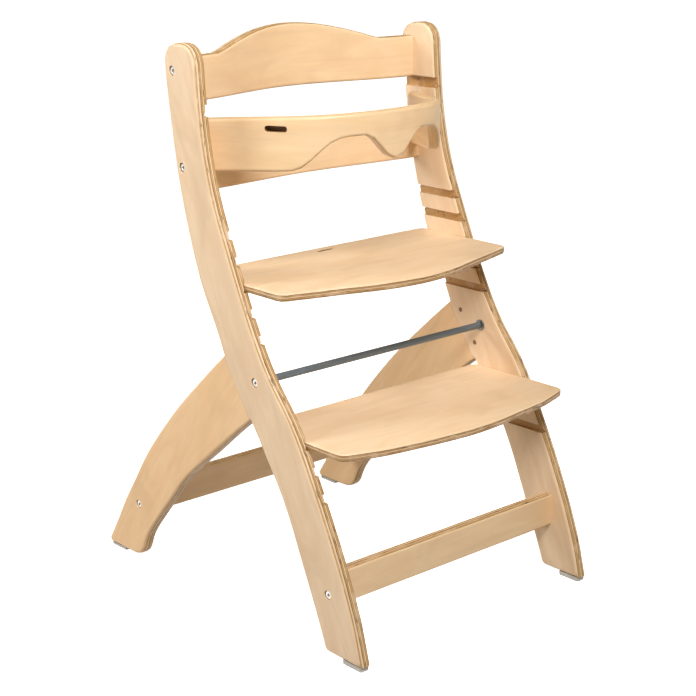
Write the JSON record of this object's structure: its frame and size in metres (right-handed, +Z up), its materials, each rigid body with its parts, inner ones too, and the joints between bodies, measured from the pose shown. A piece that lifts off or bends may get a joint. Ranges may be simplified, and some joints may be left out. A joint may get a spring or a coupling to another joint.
{
  "type": "baby high chair",
  "caption": "Bentwood plywood high chair with slanted grooved sides, adjustable seat and footrest plates, curved back rails and a wooden guard hoop.",
  "frame": {"origin": "on the floor, under the middle of the chair's footprint", "axes": "+X to the right as seen from in front of the chair (the names left and right follow this view), -Y the way the child faces, +Z up"},
  "size_m": [0.45, 0.602, 0.798],
  "materials": {
    "birch_plywood": "clear satin lacquer",
    "beech": "unfinished dowel",
    "brown_wood": "glued pin",
    "steel": "zinc plated",
    "grey_steel": "satin grey",
    "plastic": "moulded"
  },
  "bodies": {
    "frame": {"left_upright": "birch_plywood", "left_rear_leg": "birch_plywood", "right_upright": "birch_plywood", "right_rear_leg": "birch_plywood", "top_back_rail": "birch_plywood", "lower_back_rail": "birch_plywood", "front_crossbar": "birch_plywood", "rear_crossbar": "birch_plywood", "guard_hoop": "birch_plywood", "tie_rod": "grey_steel", "left_rod_washer": "steel", "left_rod_bolt": "steel", "left_top_rail_bolt": "steel", "left_top_rail_nut": "steel", "left_lower_rail_bolt": "steel", "left_lower_rail_nut": "steel", "left_front_crossbar_bolt": "steel", "left_front_crossbar_nut": "steel", "left_rear_crossbar_bolt": "steel", "left_rear_crossbar_nut": "steel", "left_front_crossbar_dowel": "beech", "left_rear_crossbar_dowel": "beech", "left_leg_dowel_1": "beech", "left_leg_dowel_2": "beech", "left_leg_pin_1": "brown_wood", "left_leg_pin_2": "brown_wood", "left_hoop_screw_1": "steel", "left_hoop_screw_2": "steel", "left_front_glide": "plastic", "left_rear_glide": "plastic", "right_rod_washer": "steel", "right_rod_bolt": "steel", "right_top_rail_bolt": "steel", "right_top_rail_nut": "steel", "right_lower_rail_bolt": "steel", "right_lower_rail_nut": "steel", "right_front_crossbar_bolt": "steel", "right_front_crossbar_nut": "steel", "right_rear_crossbar_bolt": "steel", "right_rear_crossbar_nut": "steel", "right_front_crossbar_dowel": "beech", "right_rear_crossbar_dowel": "beech", "right_leg_dowel_1": "beech", "right_leg_dowel_2": "beech", "right_leg_pin_1": "brown_wood", "right_leg_pin_2": "brown_wood", "right_hoop_screw_1": "steel", "right_hoop_screw_2": "steel", "right_front_glide": "plastic", "right_rear_glide": "plastic"},
    "seat": {"seat_plate": "birch_plywood"},
    "footrest": {"footrest_plate": "birch_plywood"}
  },
  "joints": [
    {"name": "seat_slide", "type": "slide", "parent": "frame", "child": "seat", "axis": [0, 1, 0], "range_m": [-0.04, 0.025]},
    {"name": "footrest_slide", "type": "slide", "parent": "frame", "child": "footrest", "axis": [0, 1, 0], "range_m": [-0.04, 0.015]}
  ]
}
